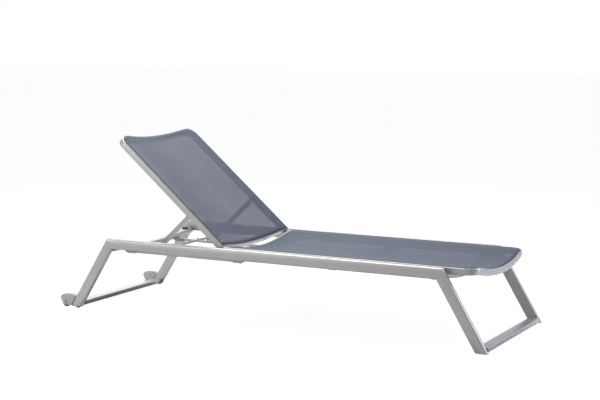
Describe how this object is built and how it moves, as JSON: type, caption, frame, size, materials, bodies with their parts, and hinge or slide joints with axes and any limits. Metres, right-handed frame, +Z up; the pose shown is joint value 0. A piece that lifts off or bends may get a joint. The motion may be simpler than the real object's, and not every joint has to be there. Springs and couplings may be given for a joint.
{
  "type": "sun lounger",
  "caption": "Low sun lounger with splayed sled legs, a taut mesh sling seat, and a backrest raised by a notched prop; small transport wheels behind the rear feet.",
  "frame": {"origin": "centre of the bounding box on the floor", "axes": "+X from the head end to the foot end, +Y to the left of someone lying on it face up, +Z up"},
  "size_m": [2.0414, 0.688, 0.7798],
  "materials": {
    "coated_frame": "fine silver-grey powder coat",
    "coated_prop": "fine silver-grey powder coat",
    "cast_hinge": "cast, silver-grey powder coat",
    "sling_fabric": "woven blue-grey mesh sling",
    "black_rubber": "black moulded rubber",
    "wheel_rubber": "black moulded tread",
    "black_plastic": "black moulded nylon",
    "grey_plastic": "silver-grey moulded nylon",
    "steel_hardware": "stainless, satin"
  },
  "bodies": {
    "frame": {"left_side_rail": "coated_frame", "right_side_rail": "coated_frame", "left_front_leg": "coated_frame", "right_front_leg": "coated_frame", "left_rear_leg": "coated_frame", "right_rear_leg": "coated_frame", "left_front_leg_cap": "grey_plastic", "right_front_leg_cap": "grey_plastic", "left_rear_leg_cap": "grey_plastic", "right_rear_leg_cap": "grey_plastic", "front_foot_bar": "coated_frame", "rear_foot_bar": "coated_frame", "left_front_glide": "black_rubber", "right_front_glide": "black_rubber", "left_rear_glide": "black_rubber", "right_rear_glide": "black_rubber", "head_cross_tube": "coated_frame", "hinge_cross_tube": "coated_frame", "middle_cross_tube": "coated_frame", "foot_cross_tube": "coated_frame", "seat_frame": "coated_frame", "seat_frame_bolts": "steel_hardware", "seat_head_rail": "coated_frame", "seat_sling": "sling_fabric", "seat_sling_cord": "black_plastic", "left_hinge_fork": "cast_hinge", "right_hinge_fork": "cast_hinge", "hinge_pins": "steel_hardware", "left_rack_bar": "coated_frame", "right_rack_bar": "coated_frame", "left_rack_pins": "steel_hardware", "right_rack_pins": "steel_hardware", "left_rack_head_mount": "grey_plastic", "right_rack_head_mount": "grey_plastic", "left_rack_hinge_mount": "grey_plastic", "right_rack_hinge_mount": "grey_plastic", "rack_mount_screws": "steel_hardware", "left_bumper": "black_rubber", "right_bumper": "black_rubber", "left_wheel_housing": "grey_plastic", "right_wheel_housing": "grey_plastic", "wheel_axles": "steel_hardware"},
    "backrest": {"backrest_frame": "coated_frame", "backrest_lower_rail": "coated_frame", "backrest_sling": "sling_fabric", "backrest_sling_cord": "black_plastic", "left_hinge_eye": "cast_hinge", "right_hinge_eye": "cast_hinge", "left_prop_pivot": "steel_hardware", "right_prop_pivot": "steel_hardware", "prop_spacers": "black_plastic", "prop_stop_pins": "steel_hardware"},
    "prop": {"left_prop_arm": "coated_prop", "right_prop_arm": "coated_prop", "prop_rod": "coated_prop", "prop_rod_caps": "black_plastic", "left_prop_sleeve": "black_plastic", "right_prop_sleeve": "black_plastic"},
    "left_wheel_body": {"left_wheel": "wheel_rubber"},
    "right_wheel_body": {"right_wheel": "wheel_rubber"}
  },
  "joints": [
    {"name": "backrest_hinge", "type": "hinge", "parent": "frame", "child": "backrest", "pos_m": [-0.1926, 0, 0.314], "axis": [0, 1, 0], "range_deg": [-40.3, 26]},
    {"name": "prop_fold", "type": "hinge", "parent": "backrest", "child": "prop", "pos_m": [-0.36496, 0, 0.46017], "axis": [0, -1, 0], "range_deg": [-75.7, 48.9]},
    {"name": "left_wheel_spin", "type": "hinge", "parent": "frame", "child": "left_wheel_body", "pos_m": [-0.993, 0.3315, 0.022], "axis": [0, 1, 0], "continuous": true},
    {"name": "right_wheel_spin", "type": "hinge", "parent": "frame", "child": "right_wheel_body", "pos_m": [-0.993, -0.3315, 0.022], "axis": [0, 1, 0], "continuous": true}
  ],
  "couplings": [
    {"joint": "prop_fold", "follows": "backrest_hinge", "ratio": 1.875}
  ]
}
